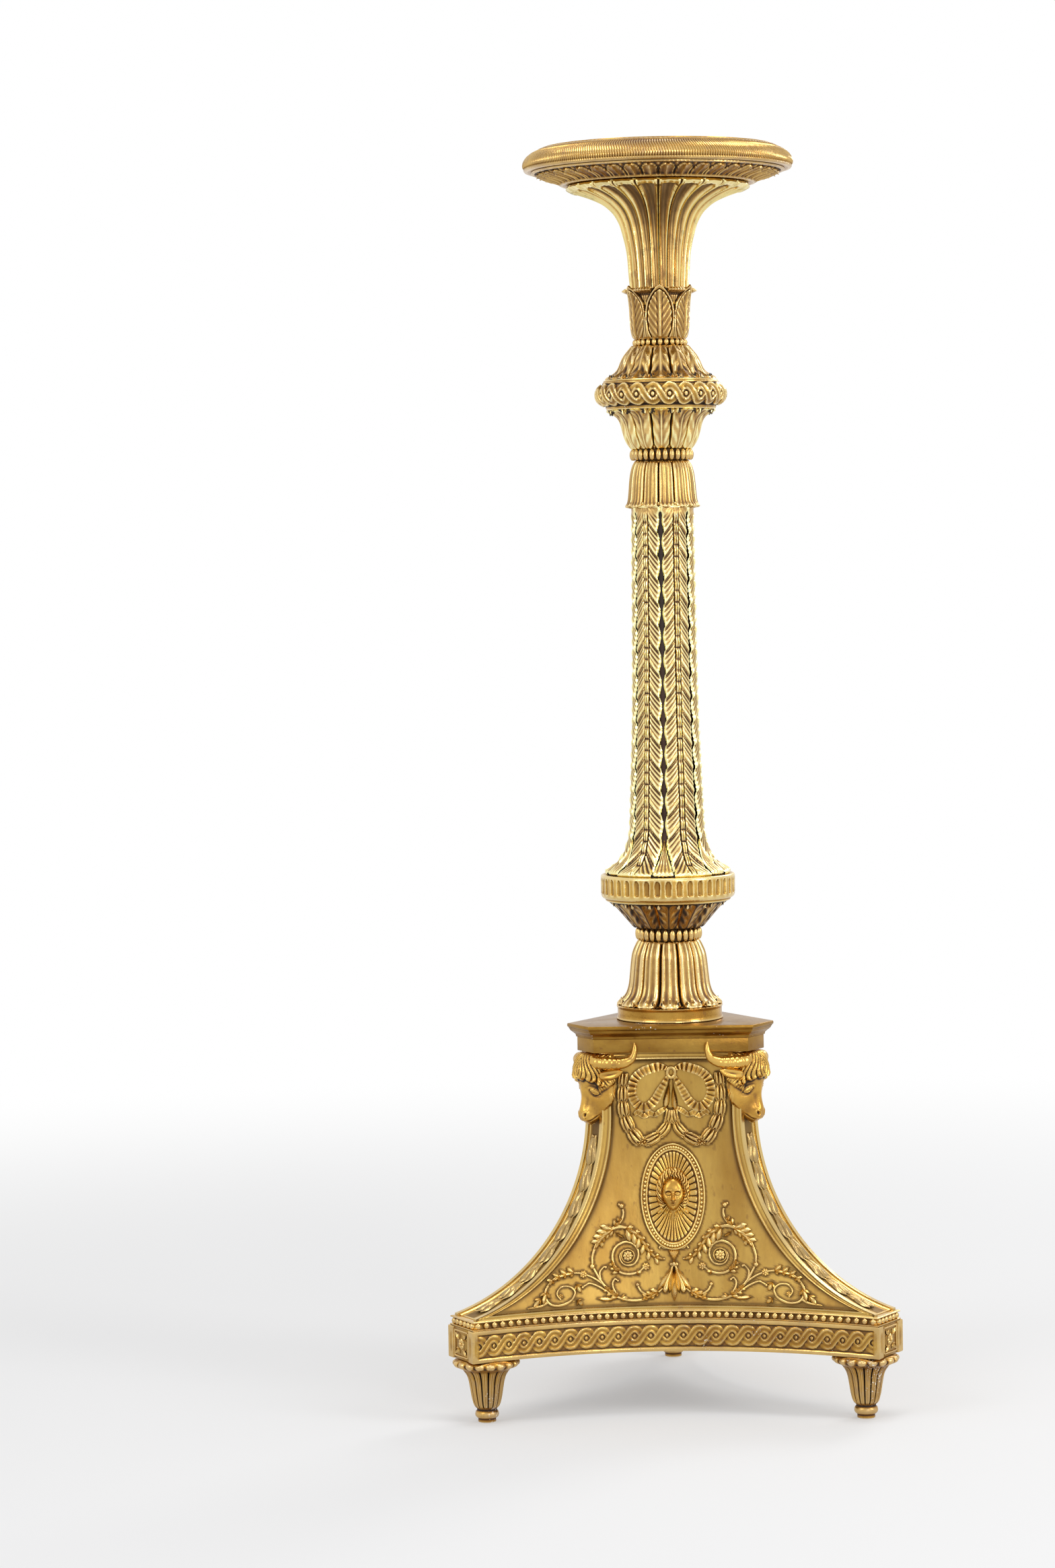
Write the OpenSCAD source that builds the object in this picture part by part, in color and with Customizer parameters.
// Neoclassical torchere: a candle stand of carved and gilt wood.
// A round top on a carved stem, standing on a three-sided base with bull heads and three feet.
// The origin is on the floor at the vertical axis, +Z is up and one face of the base looks to -Y.
// All sizes are in millimetres.

/* [Top] */
// Radius of the top board
board_r = 150; // [130:1:170]
// Thickness of the top board
board_h = 30; // [24:1:40]
// Outermost radius of the rim moulding
rim_r = 175; // [172:1:190]
// Height of the leaf moulding under the board
leaf_moulding_h = 18; // [14:1:24]
// Upper radius of the leaf moulding
leaf_moulding_r = 164; // [155:1:168]

/* [Stem heights] */
// Height of the trumpet neck above its collar
neck_h = 130; // [110:1:160]
// Height of the lotus collar
lotus_h = 69; // [55:1:85]
// Height of the upper bead ring
upper_bead_h = 9; // [8:0.5:12]
// Height of the upper leaf bell
upper_bell_h = 43; // [36:1:52]
// Height of the guilloche ring
guilloche_h = 39; // [32:1:46]
// Height of the lower leaf bell
lower_bell_h = 51; // [44:1:60]
// Height of the middle bead ring
middle_bead_h = 14; // [12:0.5:18]
// Height of the petal skirt
skirt_h = 61; // [50:1:75]
// Height of the acanthus bands of the shaft
band_h = 476; // [400:1:560]
// Height of the fluted collar
collar_h = 35; // [30:1:42]
// Height of the inverted leaf bell
inverted_bell_h = 35; // [30:1:42]
// Height of the lower bead ring
lower_bead_h = 16; // [14:0.5:20]
// Height of the base leaf bell
base_bell_h = 85; // [75:1:100]
// Height of the round plinth
drum_h = 18.5; // [15:0.5:24]

/* [Stem radii] */
// Radius of the neck where it leaves its collar
neck_r = 38; // [36:0.5:40]
// Radius of the trumpet's lip
trumpet_lip_r = 119; // [105:1:130]
// Radius of the lotus collar at its leaf tips
lotus_tip_r = 46; // [44:0.5:50]
// Radius of the upper bead ring
upper_bead_r = 36.2; // [35:0.1:38]
// Outermost radius of the guilloche ring
guilloche_r = 86.3; // [80:0.1:95]
// Radius of the leaf bells at their wide ends
bell_lip_r = 70; // [66:0.5:75]
// Radius of the middle bead ring
middle_bead_r = 41.9; // [40:0.1:44]
// Radius of the petal skirt at its lip
skirt_lip_r = 49; // [47:0.5:52]
// Radius of the acanthus bands at the top
shaft_top_r = 40.4; // [39:0.1:42]
// Radius of the acanthus bands above their foot
shaft_low_r = 49; // [46:0.5:52]
// Radius of the acanthus bands at their spread foot
shaft_foot_r = 82.5; // [76:0.5:84]
// Thickness of the acanthus bands
band_t = 5.2; // [4:0.1:6.5]
// Radius of the fluted collar
collar_r = 87.5; // [85:0.5:92]
// Radius of the lower bead ring
lower_bead_r = 43.9; // [42:0.1:46]
// Radius of the base leaf bell at its wide end
base_bell_r = 67.5; // [62:0.5:68]
// Radius of the round plinth
drum_r = 69; // [69:0.5:76]

/* [Base] */
// Height of the cornice board
cornice_h = 17.5; // [15:0.5:22]
// Height of the plain frieze block
frieze_h = 18; // [15:0.5:24]
// Height of the panelled body of the base
body_h = 329; // [300:1:360]
// Height of the bead moulding
bead_moulding_h = 12; // [10:0.5:15]
// Height of the plinth
plinth_h = 41; // [36:1:48]
// Distance from the axis to a cut corner of the cornice
cornice_corner_r = 138.4; // [134:0.2:145]
// Distance from the axis to a cut corner of the frieze block
frieze_corner_r = 127.2; // [124:0.2:131]
// Width of a cut corner of the frieze block
frieze_corner_w = 43; // [40:0.5:46]
// Distance from the axis to a corner of the body at its top
body_corner_r = 116; // [112:0.5:120]
// Width of a corner of the body at its top
body_corner_w = 43; // [41:0.5:46]
// How much a corner widens with each millimetre of distance from the axis
corner_spread = 0.075; // [0.06:0.005:0.09]
// Distance from the axis to a corner of the plinth
plinth_corner_r = 317; // [305:1:330]
// Width of a corner of the plinth
plinth_corner_w = 67; // [64:0.5:70]
// How far the middle of a plinth side curves in from its ends
plinth_sag = 73; // [60:1:85]
// Radius of the concave curve of the body's corners
corner_curve_r = 256; // [240:1:262]
// Width of the raised border round a side panel
border_w = 14; // [10:0.5:18]
// Depth of the panel field behind its border
field_depth = 3; // [2:0.25:4]
// Thickness of a side panel at its middle
panel_t = 14; // [11:0.5:18]
// Thickness of the panel edges that frame each corner stile
edge_t = 7; // [6:0.5:9]
// Depth of the stile behind those edges
stile_recess = 3; // [2:0.25:4]
// Thickness of a corner stile
stile_t = 28; // [20:1:34]

/* [Feet] */
// Height of a foot below the plinth
foot_h = 83; // [70:1:100]
// Distance from the axis to the middle of a foot
foot_place_r = 280; // [275:0.5:284]
// Radius of a foot's collar
foot_collar_r = 43.5; // [40:0.5:45]
// Radius of a foot's fluted body under its collar
foot_body_r = 25; // [22:0.5:28]
// Radius of a foot's neck
foot_neck_r = 13; // [11:0.5:14]
// Radius of the ball ring under the neck
foot_ball_r = 15.5; // [14.5:0.5:18]
// Radius of the sole pad
foot_sole_r = 11.5; // [9:0.5:13]
// Radius of the dowel that holds a foot
foot_dowel_r = 12; // [9:0.5:14]
// Length of that dowel
foot_dowel_h = 28; // [20:1:34]

/* [Carving] */
// Number of flutes on the trumpet neck
trumpet_flutes = 24; // [18:1:30]
// Number of leaves on each leaf bell
bell_leaves = 12; // [10:1:14]
// Number of petals on the skirt
skirt_petals = 13; // [10:1:16]
// Number of main leaves on the lotus collar
lotus_leaves = 6; // [5:1:8]
// Number of flutes on the fluted collar
collar_flutes = 38; // [30:1:42]
// Number of beads on the upper bead ring
upper_beads = 26; // [20:1:28]
// Number of beads on the middle and the lower bead ring
melon_beads = 28; // [22:1:30]
// Number of husks in the chain on each corner
husk_count = 8; // [6:1:9]
// Number of flutes on each foot
foot_flutes = 14; // [10:1:16]
// Width of the oval medallion
medallion_w = 84; // [76:1:92]
// Height of the oval medallion
medallion_h = 136; // [120:1:150]
// Number of sun rays on the medallion
medallion_rays = 24; // [16:2:32]

/* [Joints] */
// Gap all round a tenon in its socket
tenon_gap = 0.2; // [0.1:0.05:0.4]
// Gap between curved or carved pieces that lie against each other
seat_gap = 0.15; // [0.1:0.05:0.3]
// Radius of the tenon between the neck and the top
top_tenon_r = 40; // [30:1:44]
// Depth of that tenon in the top board
top_tenon_h = 16; // [10:1:20]
// Radius of the tenon below the neck
neck_tenon_r = 24; // [18:1:27]
// Radius of the tenon below the upper leaf bell
bell_tenon_r = 31; // [24:1:36]
// Radius of the tenon between the lower leaf bell and the shaft
shaft_top_tenon_r = 20; // [16:1:24]
// Radius of the shaft core inside the petal skirt
core_top_r = 31; // [29:0.5:32]
// Radius of the tenon below the shaft core
shaft_tenon_r = 28; // [22:1:31]
// Radius of the tenon below the base leaf bell
base_tenon_r = 30; // [24:1:34]
// How far a stem tenon reaches into its socket
tenon_h = 18; // [14:1:24]

/* [Hidden] */
$fn = 48;

// Colours of the finish
gilt = [0.80, 0.60, 0.24];
dark_wood = [0.30, 0.12, 0.06];
plain_wood = [0.62, 0.45, 0.28];

// Heights of the seats, from the floor up
plinth_z = foot_h;
bead_moulding_z = plinth_z + plinth_h;
body_z = bead_moulding_z + bead_moulding_h;
frieze_z = body_z + body_h;
cornice_z = frieze_z + frieze_h;
drum_z = cornice_z + cornice_h;
base_bell_z = drum_z + drum_h;
lower_bead_z = base_bell_z + base_bell_h;
inverted_bell_z = lower_bead_z + lower_bead_h;
collar_z = inverted_bell_z + inverted_bell_h;
band_z = collar_z + collar_h;
skirt_z = band_z + band_h;
middle_bead_z = skirt_z + skirt_h;
lower_bell_z = middle_bead_z + middle_bead_h;
guilloche_z = lower_bell_z + lower_bell_h;
upper_bell_z = guilloche_z + guilloche_h;
upper_bead_z = upper_bell_z + upper_bell_h;
lotus_z = upper_bead_z + upper_bead_h;
neck_z = lotus_z + lotus_h;
leaf_moulding_z = neck_z + neck_h;
board_z = leaf_moulding_z + leaf_moulding_h;
height = board_z + board_h;

// Overlap inside one piece, so that its parts join
bite = 1;

// ---- Turned and carved forms of the stem ----

// Part of a quarter turn outward: 0 at t = 0, steep near t = 1, where it is 1
function flare(t, power) = 1 - pow(1 - pow(min(1, max(0, t)), power), 1 / power);

// Radius of a leaf bell: t = 0 at its neck, 1 at its lip
function bell_radius(t, neck, belly, lip, power) =
  neck + (belly - neck) * (1 - pow(1 - t, 4)) + (lip - belly) * flare(t, power);

// Height of a lobe across its width: u runs from 0 to 1
function leaf_lobe(u) = sin(180 * u);
function hollow_lobe(u) = 1 - sin(180 * u);

// One ring of a carved form: row is [height, radius, depth of carving, drop between tips]
function carved_ring(row, lobes, per, hollow) =
  [for (k = [0 : lobes * per - 1])
    let (u = (k % per) / per,
         h = hollow ? hollow_lobe(u) : leaf_lobe(u),
         a = -90 - 180 / lobes + 360 * k / (lobes * per),
         r = row[1] - row[2] * (1 - h))
    [r * cos(a), r * sin(a), row[0] - row[3] * (1 - h)]];

// Faces of the sides of a skin of rows that each have n points
function skin_sides(rows, n) =
  [for (j = [0 : rows - 2], k = [0 : n - 1]) each [
    [j * n + k, (j + 1) * n + k, (j + 1) * n + (k + 1) % n],
    [j * n + k, (j + 1) * n + (k + 1) % n, j * n + (k + 1) % n]]];

// An end folded from triangles between opposite points of a row
function folded_end(n) = [for (k = [0 : ceil(n / 2) - 2]) each concat(
  [[k, k + 1, n - 1 - k]], k + 1 < n - 2 - k ? [[k + 1, n - 2 - k, n - 1 - k]] : [])];
function turned(faces, shift) = [for (f = faces) [for (k = [len(f) - 1 : -1 : 0]) f[k] + shift]];

// A closed skin through rows of points, each row turning to the left seen from the last row
module skin(rows) {
  m = len(rows);
  n = len(rows[0]);
  end = folded_end(n);
  polyhedron(points = [for (row = rows) each row],
             faces = concat(end, skin_sides(m, n), turned(end, (m - 1) * n)));
}

// A carved form on the axis: its ends are fans round a middle point
module carved(rows, lobes, per, hollow = false) {
  m = len(rows);
  n = lobes * per;
  polyhedron(
    points = concat([for (row = rows) each carved_ring(row, lobes, per, hollow)],
                    [[0, 0, rows[0][0]], [0, 0, rows[m - 1][0]]]),
    faces = concat([for (k = [0 : n - 1]) [m * n, k, (k + 1) % n]], skin_sides(m, n),
                   [for (k = [0 : n - 1]) [m * n + 1, (m - 1) * n + (k + 1) % n, (m - 1) * n + k]]));
}

// A round bar or hole between two heights
module bar(r, z0, z1) {
  translate([0, 0, z0]) cylinder(r = r, h = z1 - z0);
}

// Stations along a leaf bell, closer together at the lip
bell_stations = [0, 0.12, 0.35, 0.65, 0.85, 0.95, 1];

// A bell of leaves with its neck up or down
module leaf_bell(z, h, neck, belly, lip, power, lip_up, cut_neck, cut_lip) {
  rows = [for (t = bell_stations)
    [lip_up ? z + h * t : z + h * (1 - t), bell_radius(t, neck, belly, lip, power),
     cut_neck + (cut_lip - cut_neck) * t, 0]];
  ordered = lip_up ? rows : [for (i = [len(rows) - 1 : -1 : 0]) rows[i]];
  carved(ordered, bell_leaves, 5);
}

// ---- The pieces of the top ----

module top_board() {
  color(gilt) difference() {
    bar(board_r, board_z, height);
    bar(top_tenon_r + tenon_gap, board_z - bite, board_z + top_tenon_h + tenon_gap);
  }
}

// The rim is a wide ovolo over a fillet, fitted round the board
rim_fillet_h = 5;
rim_top_fall = 3;
module rim_moulding() {
  inner = board_r + tenon_gap;
  fillet_z = board_z + rim_fillet_h;
  rise = height - rim_top_fall - fillet_z;
  color(gilt) rotate_extrude($fn = 96) polygon(concat(
    [[inner, board_z], [rim_r - 3, board_z], [rim_r - 1, board_z + 1.5], [rim_r, fillet_z]],
    [for (a = [15 : 15 : 75]) [rim_r - 22 + 22 * cos(a), fillet_z + rise * sin(a)]],
    [[rim_r - 22, height - rim_top_fall], [inner + 4, height - 0.8], [inner, height - 1]]));
}

module leaf_moulding() {
  bore = top_tenon_r + tenon_gap;
  low_r = trumpet_lip_r + 5;
  reach = leaf_moulding_r - low_r;
  color(gilt) rotate_extrude($fn = 96) polygon(concat(
    [[bore, leaf_moulding_z], [low_r, leaf_moulding_z]],
    [for (t = [0.2 : 0.2 : 0.8])
      [low_r + reach * flare(t, 1.5), leaf_moulding_z + (leaf_moulding_h - 3) * t]],
    [[leaf_moulding_r, board_z - 3], [leaf_moulding_r, board_z], [bore, board_z]]));
}

// ---- The upper stem ----

// Depth of the cup in the lotus collar where the neck stands
cup_h = 12;
neck_seat_z = neck_z - cup_h;
lip_fillet_h = 9;

function neck_radius(t) = neck_r + (trumpet_lip_r - 9 - neck_r) * flare(t, 2.2);
neck_stations = [0.3, 0.55, 0.75, 0.9, 1];

module trumpet_neck() {
  top_z = leaf_moulding_z;
  span = neck_h - lip_fillet_h;
  rows = concat(
    [[neck_seat_z, neck_r, 1.5, 0]],
    [for (t = neck_stations) [neck_z + span * t, neck_radius(t), 2 + 4.5 * t, 0]],
    [[top_z - 4, trumpet_lip_r, 3, 2.5], [top_z, trumpet_lip_r - 1, 0, 0]]);
  color(gilt) {
    carved(rows, trumpet_flutes, 4, true);
    bar(top_tenon_r, top_z - bite, board_z + top_tenon_h);
    bar(neck_tenon_r, upper_bead_z - tenon_h, neck_seat_z + bite);
  }
}

module lotus_collar() {
  foot_r = 34;
  wall_r = 38.6;
  color(gilt) difference() {
    carved([[lotus_z, foot_r, 1.5, 0], [lotus_z + 0.25 * lotus_h, wall_r - 1, 1.8, 0],
            [lotus_z + 0.7 * lotus_h, wall_r + 0.8, 1.5, 0], [neck_seat_z + 1, wall_r + 2.4, 1, 0],
            [neck_z - 5, lotus_tip_r - 2.5, 1.2, 3], [neck_z, lotus_tip_r, 2.6, 7],
            [neck_seat_z + 3, neck_r, 0, 0]],
           2 * lotus_leaves, 4);
    bar(neck_r + tenon_gap, neck_seat_z, neck_z + bite);
    bar(neck_tenon_r + tenon_gap, lotus_z - bite, neck_seat_z + bite);
  }
}

// A ring of round beads on a plain core
module upper_bead_ring() {
  bead_r = upper_bead_h / 2;
  bead_circle = upper_bead_r - bead_r;
  color(gilt) difference() {
    union() {
      bar(bead_circle + 0.4 * bead_r, upper_bead_z, lotus_z);
      for (k = [0 : upper_beads - 1])
        rotate(-90 + 360 * k / upper_beads)
          translate([bead_circle, 0, upper_bead_z + bead_r]) sphere(r = bead_r - 0.1, $fn = 24);
    }
    bar(neck_tenon_r + tenon_gap, upper_bead_z - bite, lotus_z + bite);
  }
}

module upper_leaf_bell() {
  color(gilt) difference() {
    union() {
      leaf_bell(upper_bell_z, upper_bell_h, upper_bead_r - 0.5, 47.5, bell_lip_r, 2.1, false, 1.6, 3);
      bar(bell_tenon_r, guilloche_z - tenon_h, upper_bell_z + bite);
    }
    bar(neck_tenon_r + tenon_gap, upper_bead_z - tenon_h - tenon_gap, upper_bead_z + bite);
  }
}

module guilloche_ring() {
  bore = bell_tenon_r + tenon_gap;
  fillet_h = 6;
  half_h = guilloche_h / 2 - fillet_h;
  mid_z = guilloche_z + guilloche_h / 2;
  torus_r = guilloche_r - half_h;
  color(gilt) rotate_extrude($fn = 96) difference() {
    union() {
      translate([bore, guilloche_z]) square([bell_lip_r + 1.5 - bore, guilloche_h]);
      translate([bore, guilloche_z + 3]) square([bell_lip_r + 6 - bore, guilloche_h - 6]);
      translate([bore, mid_z - half_h]) square([torus_r - bore, 2 * half_h]);
      translate([torus_r, mid_z]) circle(r = half_h);
    }
  }
}

module lower_leaf_bell() {
  color(gilt) difference() {
    union() {
      leaf_bell(lower_bell_z, lower_bell_h, 38.4, 48, bell_lip_r, 2.2, true, 1.6, 3);
      bar(shaft_top_tenon_r, middle_bead_z - tenon_h, lower_bell_z + bite);
    }
    bar(bell_tenon_r + tenon_gap, guilloche_z - tenon_h - tenon_gap, guilloche_z + bite);
  }
}

// A ring of tall melon beads, each turned like a small barrel, on a plain core
module melon_ring(z, h, r, bore) {
  bead_r = 0.46 * 2 * 180 / melon_beads * (r - 4) * PI / 180;
  color(gilt) difference() {
    union() {
      bar(r - bead_r * 1.4, z, z + h);
      for (k = [0 : melon_beads - 1])
        rotate(-90 + 360 * k / melon_beads) translate([r - bead_r, 0, z]) rotate_extrude($fn = 20)
          polygon([[0, 0.1], [bead_r * 0.55, 0.1], [bead_r * 0.9, h * 0.25], [bead_r, h * 0.5],
                   [bead_r * 0.9, h * 0.75], [bead_r * 0.55, h - 0.1], [0, h - 0.1]]);
    }
    bar(bore, z - bite, z + h + bite);
  }
}

module middle_bead_ring() {
  melon_ring(middle_bead_z, middle_bead_h, middle_bead_r, shaft_top_tenon_r + tenon_gap);
}

module petal_skirt() {
  neck = 36;
  belly = 43.4;
  lip_z = skirt_z + 3;
  rows = concat([[skirt_z, skirt_lip_r - 3.2, 2, 0]],
    [for (t = [1, 0.93, 0.8, 0.5, 0.2, 0])
      [lip_z + (skirt_h - 3) * (1 - t), bell_radius(t, neck, belly, skirt_lip_r, 4), 1 + t, 0]]);
  color(gilt) difference() {
    carved(rows, skirt_petals, 4);
    bar(core_top_r + tenon_gap, skirt_z - bite, middle_bead_z + bite);
  }
}

// ---- The shaft ----

// Angle that one band takes, and half the open slot beside it
band_angle = 60;
slot_half = 4.6;
flare_h = 62;
band_steps = 4;

// Outer radius of the shaft at a height above the fluted collar
function shaft_radius(z) = let (s = (skirt_z - z) / band_h, v = (band_z + flare_h - z) / (flare_h - band_t))
  shaft_top_r + (shaft_low_r - shaft_top_r) * pow(max(0, s), 1.5)
  + (shaft_foot_r - shaft_low_r) * flare(v, 1.6);

// Heights of the band's rows, from its foot up
band_rows = concat([for (d = [0, 2, 7, 16, 32]) band_z + band_t + d],
                   [for (i = [0 : 5]) band_z + flare_h + (band_h - flare_h - 14) * i / 5],
                   [skirt_z - 8, skirt_z - 5, skirt_z]);

// Outward normal of the shaft's skin, as [radial, up]
function shaft_normal(z) = let (d = 0.5, slope = (shaft_radius(z + d) - shaft_radius(z)) / d,
                                m = sqrt(1 + slope * slope)) [1 / m, -slope / m];

// Half the angle of a band: the slots close in a round end under the skirt
function band_half(z) = band_angle / 2
  - (z > skirt_z - 6 ? 0.2 : z > skirt_z - 10 ? 0.6 * slot_half : slot_half);

// A band's cross-section at one height: outer points one way, inner points back
function band_row(z, middle) =
  let (n = shaft_normal(z), r = shaft_radius(z), ri = r - band_t * n[0], zi = z - band_t * n[1],
       half = band_half(z), step = 2 * half / band_steps)
  concat(
    [for (k = [0 : band_steps]) let (a = middle - half + k * step, swell = 1 - abs(k - band_steps / 2) / band_steps)
      [(r - 1.2 + 1.2 * swell) * cos(a), (r - 1.2 + 1.2 * swell) * sin(a), z]],
    [for (k = [band_steps : -1 : 0]) let (a = middle - half + k * step) [ri * cos(a), ri * sin(a), zi]]);

module palm_band(i) {
  middle = -90 - 5 + band_angle / 2 + band_angle * (i - 1);
  color(gilt) skin([for (z = band_rows) band_row(z, middle)]);
}

// The turned core follows the inside of the bands and shows dark in the slots
module shaft_core() {
  facet = cos(band_angle / band_steps / 2);
  core = [for (z = band_rows) let (n = shaft_normal(z))
    [(shaft_radius(z) - band_t * n[0]) * facet - seat_gap, z - band_t * n[1]]];
  color(dark_wood) difference() {
    union() {
      rotate_extrude($fn = 72) polygon(concat([[0, band_z], [core[0][0], band_z]],
        [for (p = core) if (p[1] > band_z + 0.5) p], [[0, core[len(core) - 1][1]]]));
      bar(core_top_r, skirt_z - bite, middle_bead_z);
      bar(shaft_tenon_r, lower_bead_z - tenon_h, band_z + bite);
    }
    bar(shaft_top_tenon_r + tenon_gap, middle_bead_z - tenon_h - tenon_gap, middle_bead_z + bite);
  }
}

// ---- The lower stem ----

module fluted_collar() {
  lip_z = collar_z + 6;
  flute_h = collar_h - 13;
  flute_r = 0.42 * 2 * PI * collar_r / collar_flutes;
  color(gilt) difference() {
    rotate_extrude($fn = 96) polygon([[0, collar_z], [collar_r - 7, collar_z], [collar_r - 5, collar_z + 2],
      [collar_r - 2, collar_z + 4], [collar_r, lip_z + 3], [collar_r, band_z - 4],
      [collar_r - 0.6, band_z - 2], [collar_r - 1.8, band_z], [0, band_z]]);
    for (k = [0 : collar_flutes - 1])
      rotate(360 * k / collar_flutes) translate([collar_r + flute_r - 2, 0, lip_z])
        cylinder(r = flute_r, h = flute_h, $fn = 24);
    bar(shaft_tenon_r + tenon_gap, collar_z - bite, band_z + bite);
  }
}

module inverted_leaf_bell() {
  color(gilt) difference() {
    leaf_bell(inverted_bell_z, inverted_bell_h, 41.2, 52, 76, 1.6, true, 1.8, 3.5);
    bar(shaft_tenon_r + tenon_gap, inverted_bell_z - bite, collar_z + bite);
  }
}

module lower_bead_ring() {
  melon_ring(lower_bead_z, lower_bead_h, lower_bead_r, shaft_tenon_r + tenon_gap);
}

module base_leaf_bell() {
  color(gilt) difference() {
    union() {
      leaf_bell(base_bell_z, base_bell_h, 39.4, 49, base_bell_r, 2.8, false, 2, 3.4);
      bar(base_tenon_r, frieze_z - tenon_h, base_bell_z + bite);
    }
    bar(shaft_tenon_r + tenon_gap, lower_bead_z - tenon_h - tenon_gap, lower_bead_z + bite);
  }
}

module round_plinth() {
  color(gilt) difference() {
    rotate_extrude($fn = 96) polygon([[0, drum_z], [drum_r, drum_z], [drum_r, base_bell_z - 3.5],
      [drum_r + 0.8, base_bell_z - 2.8], [drum_r + 0.8, base_bell_z - 0.8], [drum_r, base_bell_z],
      [0, base_bell_z]]);
    bar(base_tenon_r + tenon_gap, drum_z - bite, base_bell_z + bite);
  }
}

// ---- The cornice and the frieze ----

// Plan of a three-sided block with cut corners, as points that turn to the left
function cut_triangle(r, w, z) =
  [for (a = [-150, -30, 90]) each [
    [r * cos(a) + w / 2 * sin(a), r * sin(a) - w / 2 * cos(a), z],
    [r * cos(a) - w / 2 * sin(a), r * sin(a) + w / 2 * cos(a), z]]];

// The cornice: a thin slab over a cyma that narrows to the frieze
module cornice_board() {
  slab_h = 5;
  reach = cornice_corner_r - frieze_corner_r - 2;
  widen = 13 / (cornice_corner_r - frieze_corner_r);
  cyma = [for (t = [0, 0.2, 0.4, 0.6, 0.8, 1])
    [frieze_corner_r + 1.5 + (reach - 2) * (0.5 - 0.5 * cos(180 * t)), cornice_z + 1.5 + (cornice_h - slab_h - 3.5) * t]];
  steps = concat(
    [[frieze_corner_r + 1.5, cornice_z]], cyma,
    [[cornice_corner_r - 1.6, drum_z - slab_h - 1.2], [cornice_corner_r - 1.6, drum_z - slab_h],
     [cornice_corner_r, drum_z - slab_h + 0.8], [cornice_corner_r, drum_z - 0.8],
     [cornice_corner_r - 0.8, drum_z]]);
  color(gilt) difference() {
    skin([for (s = steps) cut_triangle(s[0], frieze_corner_w + widen * (s[0] - frieze_corner_r), s[1])]);
    bar(base_tenon_r + tenon_gap, cornice_z - bite, drum_z + bite);
  }
}

module frieze_block() {
  color(gilt) difference() {
    translate([0, 0, frieze_z]) linear_extrude(frieze_h)
      polygon([for (p = cut_triangle(frieze_corner_r, frieze_corner_w, 0)) [p[0], p[1]]]);
    bar(base_tenon_r + tenon_gap, frieze_z - bite, cornice_z + bite);
  }
}

// ---- The body of the base ----

// Centre of the corner's concave curve, as distance from the axis and height
curve_place_r = body_corner_r + corner_curve_r;
body_end_r = plinth_corner_r - 8;
curve_z = body_z + sqrt(pow(corner_curve_r, 2) - pow(curve_place_r - body_end_r, 2)) + 3;

// Distance of the corner from the axis at a height
function corner_radius(z) = z >= curve_z ? body_corner_r
  : min(body_end_r, curve_place_r - sqrt(max(0, pow(corner_curve_r, 2) - pow(curve_z - z, 2))));

// Half the width of the corner at a distance from the axis
function corner_half(r) = body_corner_w / 2 + corner_spread / 2 * (r - body_corner_r);

// A point in plan, from its distance along the front right corner's line and its offset from it
function corner_point(r, q) = [r * cos(-30) - q * sin(-30), r * sin(-30) + q * cos(-30)];

// Half the length of a plinth side, and the depth that a side curves in over a half length
plinth_end = corner_point(plinth_corner_r, -plinth_corner_w / 2);
function side_sag(half) = plinth_sag * pow(half / plinth_end[0], 2);

// A point on the front of a panel: x across, at a height
function panel_y(x, z) =
  let (r = corner_radius(z), e = corner_point(r, -corner_half(r)))
  e[1] + side_sag(e[0]) * (1 - pow(x / e[0], 2));

// The same in the sunk field
function field_y(x, z) = panel_y(x, z) + field_depth;

// Half the width of the sunk field at a height, and where its columns of points stand
border_step = 1.2;
function field_half(z) = let (r = corner_radius(z)) corner_point(r, -corner_half(r))[0] - border_w - border_step;
field_columns = [-0.75, -0.5, -0.25, 0, 0.25, 0.5, 0.75];

// The radial length of a panel's end beside the stile
end_reach = 32;

function panel_row(z, sunk) =
  let (r = corner_radius(z), half = corner_half(r),
       e = corner_point(r, -half), c = corner_point(r, edge_t - half),
       i = corner_point(r - end_reach, edge_t - corner_half(r - end_reach)),
       depth = sunk ? field_depth : 0,
       b = e[0] - border_w, f = field_half(z),
       mid_y = panel_y(0, z) + field_depth + panel_t)
  concat(
    [[-e[0], e[1], z], [-b, panel_y(b, z), z], [-f, panel_y(f, z) + depth, z]],
    [for (u = field_columns) [u * f, panel_y(u * f, z) + depth, z]],
    [[f, panel_y(f, z) + depth, z], [b, panel_y(b, z), z], [e[0], e[1], z],
     [c[0], c[1], z], [i[0], i[1], z]],
    [for (u = field_columns) [-u * i[0], i[1] + (mid_y - i[1]) * (1 - u * u), z]],
    [[-i[0], i[1], z], [-c[0], c[1], z]]);

// Angles along the corner's curve where the panel has its rows
curve_end_angle = acos((curve_place_r - body_end_r) / corner_curve_r);
panel_curve = [for (k = [0 : 7]) curve_z - corner_curve_r * sin(curve_end_angle * (8 - k) / 8)];

// Heights where the sunk field begins and ends, and its rows of points
field_low_z = body_z + border_w / 2 + border_step;
field_high_z = frieze_z - border_w * 0.9 - border_step;
field_rows = concat([field_low_z], [for (z = panel_curve) if (z > field_low_z + 3) z], [curve_z, field_high_z]);

module side_panel(i) {
  levels = concat(
    [[body_z, false], [panel_curve[0], false], [field_low_z - border_step, false]],
    [for (z = field_rows) [z, true]],
    [[field_high_z + border_step, false], [frieze_z, false]]);
  color(gilt) rotate(120 * (i - 1)) skin([for (l = levels) panel_row(l[0], l[1])]);
}

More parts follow.
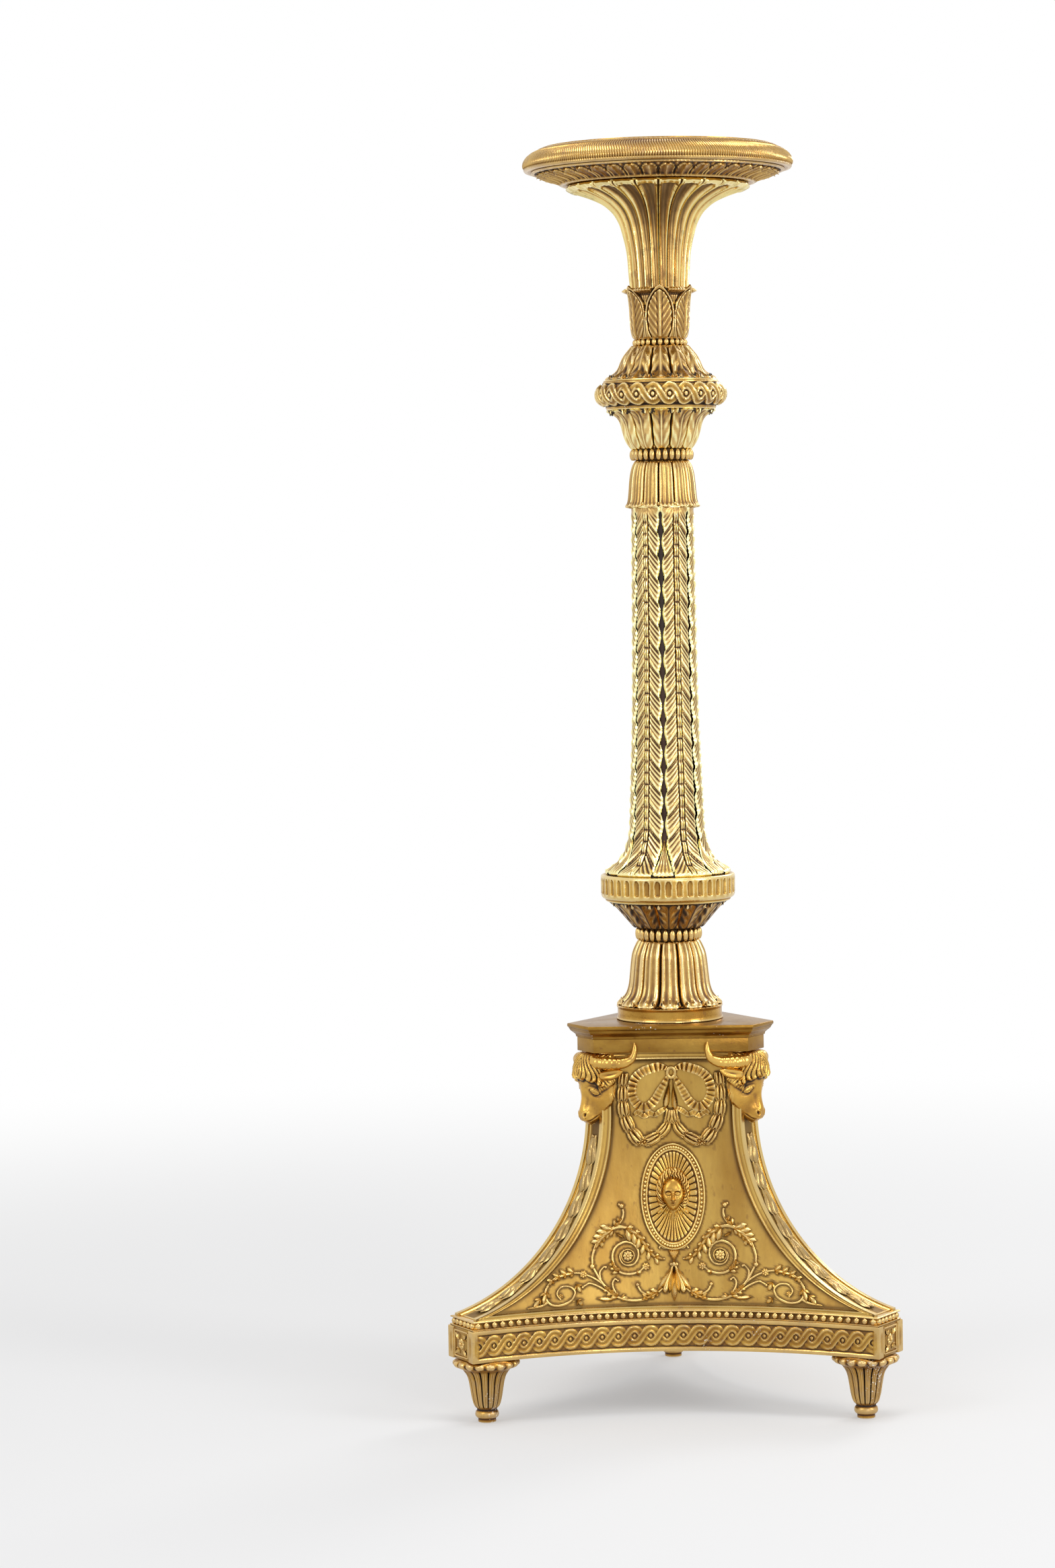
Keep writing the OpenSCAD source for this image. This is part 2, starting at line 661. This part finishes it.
// A stile fills the corner between two panels and follows the same curve
module corner_stile(i) {
  front_r = corner_curve_r + stile_recess;
  far = plinth_corner_r + 60;
  side = edge_t + seat_gap;
  color(gilt) rotate(120 * (i - 1) - 30) intersection() {
    difference() {
      union() {
        translate([curve_place_r, 0, curve_z]) rotate([90, 0, 0])
          cylinder(r = front_r + stile_t, h = 90, center = true, $fn = 96);
        translate([body_corner_r - stile_recess - stile_t, -45, curve_z])
          cube([stile_t, 90, frieze_z - curve_z]);
      }
      translate([curve_place_r, 0, curve_z]) rotate([90, 0, 0])
        cylinder(r = front_r, h = 100, center = true, $fn = 96);
      translate([body_corner_r - stile_recess, -50, curve_z]) cube([far, 100, 2 * body_h]);
      translate([0, -50, frieze_z]) cube([far, 100, body_h]);
    }
    translate([0, 0, body_z]) linear_extrude(body_h)
      polygon([[20, -corner_half(20) + side], [body_end_r - 3, -corner_half(body_end_r - 3) + side],
               [body_end_r - 3, corner_half(body_end_r - 3) - side], [20, corner_half(20) - side]]);
  }
}

// A hidden block behind the tops of the panels, where the stem's last tenon ends
module head_block() {
  block_h = 40;
  inside_r = -(panel_y(0, frieze_z) + field_depth + panel_t) - seat_gap;
  reach = body_corner_r - stile_recess - stile_t - seat_gap;
  cut_w = 2 * (inside_r - reach * sin(30)) / cos(30);
  color(plain_wood) difference() {
    translate([0, 0, frieze_z - block_h]) linear_extrude(block_h)
      polygon([for (p = cut_triangle(reach, cut_w, 0)) [p[0], p[1]]]);
    bar(base_tenon_r + tenon_gap, frieze_z - tenon_h - tenon_gap, frieze_z + bite);
  }
}

// ---- Applied carving on the base ----

// One bell-flower husk with a flat back, from its stem at the origin down -X
module husk(length, w) {
  rows = [[0.0, 0.22, 0.22], [0.35, 0.6, 0.75], [0.75, 0.9, 1], [1, 1, 0.55]];
  skin([for (row = rows)
    let (x = -length * (1 - row[0]), hw = w / 2 * row[1], t = 0.3 * w * row[2])
    [[-hw, 0, x], [-hw * 0.6, t * 0.8, x], [0, t, x], [hw * 0.6, t * 0.8, x], [hw, 0, x]]]);
}

module husk_chain(i) {
  first = 8;
  last = curve_end_angle - 5;
  pitch = (last - first) / husk_count;
  color(gilt) rotate(120 * (i - 1) - 30) for (k = [0 : husk_count - 1]) {
    a = first + pitch * (k + 0.5);
    length = 0.94 * pitch * PI / 180 * corner_curve_r;
    w = 22 - 0.5 * k;
    seat = corner_curve_r + stile_recess;
    drop = seat * (1 - cos(pitch * 0.47)) + seat_gap;
    translate([curve_place_r, 0, curve_z]) rotate([0, -a, 0])
      translate([-seat + drop, 0, length / 2]) rotate([0, 180, 90]) mirror([0, 1, 0])
        translate([0, 0, length]) husk(length, w);
  }
}

// The bull head: level rings from the muzzle up, as [height above the frieze seat, reach, half width]
head_rings = [[-95, 8, 4], [-92, 13, 8], [-84, 18.5, 12], [-72, 17.5, 14], [-58, 18, 18.5],
              [-44, 19, 24.5], [-30, 22, 28.5], [-18, 20.5, 30], [-8, 16, 29], [-3, 11, 24]];
head_back = 0.3;

module bull_mask() {
  skin([for (g = head_rings) [for (a = [-90 : 22.5 : 90])
    [head_back + g[1] * pow(cos(a), 0.8), g[2] * sin(a), g[0]]]]);
}

// A tapered tube through points, as [x, y, z, radius] with its rings square to the path
function path_dir(p, k) = let (a = p[max(0, k - 1)], b = p[min(len(p) - 1, k + 1)],
  d = [b[0] - a[0], b[1] - a[1], b[2] - a[2]]) d / norm(d);
function tube_ring(p, k, sides, up) =
  let (d = path_dir(p, k), s = cross(d, up), s1 = s / norm(s), t = cross(s1, d))
  [for (j = [0 : sides - 1]) let (a = 360 * j / sides)
    [p[k][0], p[k][1], p[k][2]] + p[k][3] * (cos(a) * s1 + sin(a) * t)];

module tube(path, sides, up = [0, 1, 0]) {
  skin([for (k = [len(path) - 1 : -1 : 0]) tube_ring(path, k, sides, up)]);
}

// A horn spreads sideways along the panel, then curves up in front of the frieze
module horn() {
  tube([[8, 18, -11, 8.2], [7, 27, -12, 8.6], [1, 35, -12.8, 8.6], [-8, 43, -12.8, 8.2],
        [-17, 49, -11.8, 7.2], [-25, 53, -7.8, 5.6], [-29, 55, -0.5, 4.2], [-30.4, 55, 8, 2.8],
        [-30.6, 54, 14, 1]], 8, [0, 0, 1]);
}

module ear() {
  tube([[9, 25, -29, 3], [5, 31, -28.6, 5.2], [-1, 36.6, -28.4, 5.6], [-7, 41.4, -28.6, 3.6], [-11, 45, -29, 1]], 6, [0, 0, 1]);
}

module bull_head(i) {
  color(gilt) rotate(120 * (i - 1) - 30) translate([body_corner_r, 0, frieze_z]) {
    bull_mask();
    for (side = [0, 1]) mirror([0, side, 0]) {
      horn();
      ear();
    }
  }
}

// The field's own skin between its rows and columns of points
function field_skin(x, z) = lookup(z, [for (zr = field_rows) [zr, lookup(x,
  [for (u = concat([-1], field_columns, [1])) [u * field_half(zr), field_y(u * field_half(zr), zr)]])]]);

// Place a flat pattern on the front panel: x across, z up, lift off the field
function on_panel(x, z, lift) = [x, field_skin(x, z) - lift, z];

// A moulded strand on the panel, half sunk to a flat back: path of [x, z, half width]
function strand_row(p, k, gap) =
  let (a = p[max(0, k - 1)], b = p[min(len(p) - 1, k + 1)], d = [b[0] - a[0], b[1] - a[1]] / norm([b[0] - a[0], b[1] - a[1]]),
       n = [-d[1], d[0]], w = p[k][2], c = p[k])
  [for (s = [[1, 0], [0, 1], [-1, 0]])
    on_panel(c[0] + n[0] * w * s[0], c[1] + n[1] * w * s[0], gap + w * s[1])];

module strand(path, gap = seat_gap) {
  skin([for (k = [0 : len(path) - 1]) strand_row(path, k, gap)]);
}

// Height of the bow and the ends of the swags
bow_z = -35;
module festoon(i) {
  swag_half = 33;
  drop = 86;
  color(gilt) rotate(120 * (i - 1)) {
    for (side = [-1, 1]) {
      // leafy swag that hangs from the horn and back up to the middle
      strand([for (a = [0 : 20 : 180])
        [side * (swag_half - swag_half * cos(a) + 1),
         frieze_z + bow_z - 20 - (drop - 20) * sin(a) * (1 - 0.12 * cos(a)), 4.5 + 5.5 * sin(a)]]);
      // fluttering ribbon loop
      strand([for (a = [20 : 32 : 340])
        [side * (31 - 27 * cos(a)), frieze_z + bow_z - 16 + 19 * sin(a), 4.2]]);
    }
    strand([for (k = [0 : 3]) [0, frieze_z + bow_z + 6 - 15 * k, [6, 7, 3.5, 5][k]]]);
  }
}

// Oval outline by a formula, as points that turn to the left
function oval(w, h, sides) = [for (k = [0 : sides - 1]) let (a = 360 * k / sides) [w / 2 * cos(a), h / 2 * sin(a)]];

medallion_z = body_z + 141;
medallion_t = 9;
module medallion(i) {
  top_z = medallion_z + medallion_h / 2;
  low_z = medallion_z - medallion_h / 2;
  back = [field_y(0, top_z), field_y(0, low_z)];
  tilt = atan((back[0] - back[1]) / medallion_h);
  mid_y = (back[0] + back[1]) / 2 - seat_gap;
  color(gilt) rotate(120 * (i - 1)) translate([0, mid_y, medallion_z]) rotate([90 - tilt, 0, 0]) {
    difference() {
      linear_extrude(medallion_t) polygon(oval(medallion_w, medallion_h, 48));
      translate([0, 0, medallion_t - 4]) linear_extrude(medallion_t)
        polygon(oval(medallion_w - 16, medallion_h - 16, 48));
    }
    intersection() {
      for (k = [0 : medallion_rays - 1]) rotate(360 * (k + 0.5) / medallion_rays)
        translate([18, -1.2, medallion_t - 5]) cube([medallion_h / 2, 2.4, 3]);
      linear_extrude(medallion_t) polygon(oval(medallion_w - 15, medallion_h - 15, 48));
    }
    // head of the sun mask: an egg form cut by the field
    intersection() {
      translate([0, 0, medallion_t - 5]) rotate([90, 0, 0]) rotate_extrude($fn = 32)
        polygon([for (a = [-90 : 15 : 90]) [15 * cos(a) * (1 + 0.12 * sin(a)), 21 * sin(a) * -1]]);
      translate([-30, -30, medallion_t - 5]) cube([60, 60, 11]);
    }
  }
}

// A spiral strand that narrows towards its eye
function spiral(x, z, r, start, turns, way, w) =
  [for (k = [0 : 14]) let (t = k / 14, a = start + way * 360 * turns * t, q = r * (1 - 0.78 * t))
    [x + q * cos(a), z + q * sin(a), w * (1 - 0.35 * t)]];

// Gap behind the long strands, which bridge the panel's hollow
scroll_gap = 0.5;
module scrollwork(i) {
  color(gilt) rotate(120 * (i - 1)) for (side = [-1, 1]) {
    // large scroll beside the medallion, and small scroll towards the corner
    strand(spiral(side * 62, body_z + 54, 27, side > 0 ? -150 : -30, 1.45, -side, 2.6), scroll_gap);
    strand(spiral(side * 145, body_z + 25, 13, side > 0 ? 150 : 30, 1.2, -side, 2.0), scroll_gap);
    // stem that joins the two
    strand([for (t = [0 : 0.2 : 1]) [side * (12 + 112 * t), body_z + 18 + 22 * sin(180 * t) + 8 * t, 2.4]], scroll_gap);
    // upright sprig
    strand([for (t = [0 : 0.25 : 1]) [side * (72 + 14 * sin(180 * t)), body_z + 86 + 38 * t, 3.4 - 2.6 * t]], scroll_gap);
  }
}

// ---- The plinth and the feet ----

// Plan of one concave side with its ends, r and w at the cut corner, set back by inset
function side_plan(inset, end_t, reach, thick, ends) =
  let (r = plinth_corner_r - inset, half = plinth_corner_w / 2 - inset,
       e = corner_point(r, -half), sag = side_sag(e[0]),
       c = corner_point(r, end_t - half),
       i = corner_point(r - reach, end_t - half),
       mid_y = e[1] + sag + thick, n = 12)
  concat(
    [for (k = [-n : n]) let (x = e[0] * k / n) [x, e[1] + sag * (1 - pow(x / e[0], 2))]],
    ends ? [corner_point(r, 0), corner_point(r - end_t, 0), corner_point(r - end_t, end_t - half)] : [c, i],
    [for (k = [n - 1 : -1 : 1 - n]) let (u = k / n, x = (ends ? corner_point(r - end_t, end_t - half)[0] : i[0]) * u,
       y0 = ends ? corner_point(r - end_t, end_t - half)[1] : i[1])
      [x, y0 + (mid_y - y0) * (1 - u * u)]],
    ends ? [mirror_x(corner_point(r - end_t, end_t - half)), mirror_x(corner_point(r - end_t, 0)), mirror_x(corner_point(r, 0))]
         : [mirror_x(i), mirror_x(c)]);
function mirror_x(p) = [-p[0], p[1]];

// Width of the rail's end where it shows beside the corner block
rail_end_t = 12;
rail_t = 26;
strip_t = 14;
strip_inset = 2;

module bead_moulding(i) {
  color(gilt) rotate(120 * (i - 1)) translate([0, 0, bead_moulding_z]) linear_extrude(bead_moulding_h)
    polygon(side_plan(strip_inset, strip_t, 0, strip_t, true));
}

module plinth_rail(i) {
  color(gilt) rotate(120 * (i - 1)) translate([0, 0, plinth_z]) linear_extrude(plinth_h)
    polygon(side_plan(0, rail_end_t, 40, rail_t, false));
}

module corner_block(i) {
  half = plinth_corner_w / 2 - rail_end_t - seat_gap;
  boss_half = plinth_corner_w / 2 - strip_inset - strip_t - seat_gap;
  inner_r = foot_place_r - 50;
  recess = 2;
  color(gilt) rotate(120 * (i - 1) - 30) difference() {
    union() {
      translate([inner_r, -half, plinth_z]) cube([plinth_corner_r - recess - inner_r, 2 * half, plinth_h]);
      translate([inner_r, -boss_half, plinth_z])
        cube([plinth_corner_r - strip_inset - strip_t - seat_gap - inner_r, 2 * boss_half, plinth_h + bead_moulding_h]);
    }
    translate([foot_place_r, 0, plinth_z - bite])
      cylinder(r = foot_dowel_r + tenon_gap, h = foot_dowel_h + bite + tenon_gap);
  }
}

// Hidden blocks glued behind the rails, between the corner blocks
module glue_blocks() {
  block_l = 60;
  block_t = 22;
  mid_y = plinth_end[1] + side_sag(plinth_end[0]) + rail_t;
  color(plain_wood) for (i = [0 : 2]) rotate(120 * i)
    translate([-block_l / 2, mid_y + seat_gap, plinth_z + 4]) cube([block_l, block_t, plinth_h + bead_moulding_h + 20]);
}

module foot(i) {
  flute_z = 0.22 * foot_h;
  body_top_z = 0.72 * foot_h;
  lean = atan((foot_body_r - foot_neck_r) / (body_top_z - flute_z));
  color(gilt) rotate(120 * (i - 1) - 30) translate([foot_place_r, 0, 0]) {
    difference() {
      rotate_extrude() polygon(concat(
        [[0, 0], [foot_sole_r, 0], [foot_sole_r, 2.5]],
        [for (a = [-60 : 30 : 60]) [foot_ball_r - 5 + 5 * cos(a), 8.5 + 6 * sin(a)]],
        [[foot_neck_r, flute_z - 1], [foot_neck_r + 1, flute_z], [foot_neck_r + 6, flute_z + 9],
         [foot_neck_r + 8, flute_z + 24], [foot_body_r - 0.5, body_top_z],
         [foot_body_r + 5, body_top_z + 7], [foot_collar_r - 4, foot_h - 14], [foot_collar_r - 1, foot_h - 12],
         [foot_collar_r, foot_h - 8], [foot_collar_r - 1, foot_h - 4], [foot_collar_r - 5, foot_h - 2],
         [foot_collar_r - 6, foot_h], [0, foot_h]]));
      for (k = [0 : foot_flutes - 1]) rotate(360 * k / foot_flutes)
        translate([foot_neck_r + 5.6, 0, flute_z + 3]) rotate([0, lean * 0.72, 0])
          cylinder(r = 1.9, h = body_top_z - flute_z - 1, $fn = 16);
    }
    bar(foot_dowel_r, foot_h - bite, foot_h + foot_dowel_h);
  }
}

top_board();
rim_moulding();
leaf_moulding();
trumpet_neck();
lotus_collar();
upper_bead_ring();
upper_leaf_bell();
guilloche_ring();
lower_leaf_bell();
middle_bead_ring();
petal_skirt();
shaft_core();
for (i = [1 : 6]) palm_band(i);
fluted_collar();
inverted_leaf_bell();
lower_bead_ring();
base_leaf_bell();
round_plinth();
cornice_board();
frieze_block();
head_block();
glue_blocks();
for (i = [1 : 3]) side_panel(i);
for (i = [1 : 3]) corner_stile(i);
for (i = [1 : 3]) husk_chain(i);
for (i = [1 : 3]) bull_head(i);
for (i = [1 : 3]) festoon(i);
for (i = [1 : 3]) medallion(i);
for (i = [1 : 3]) scrollwork(i);
for (i = [1 : 3]) bead_moulding(i);
for (i = [1 : 3]) plinth_rail(i);
for (i = [1 : 3]) corner_block(i);
for (i = [1 : 3]) foot(i);
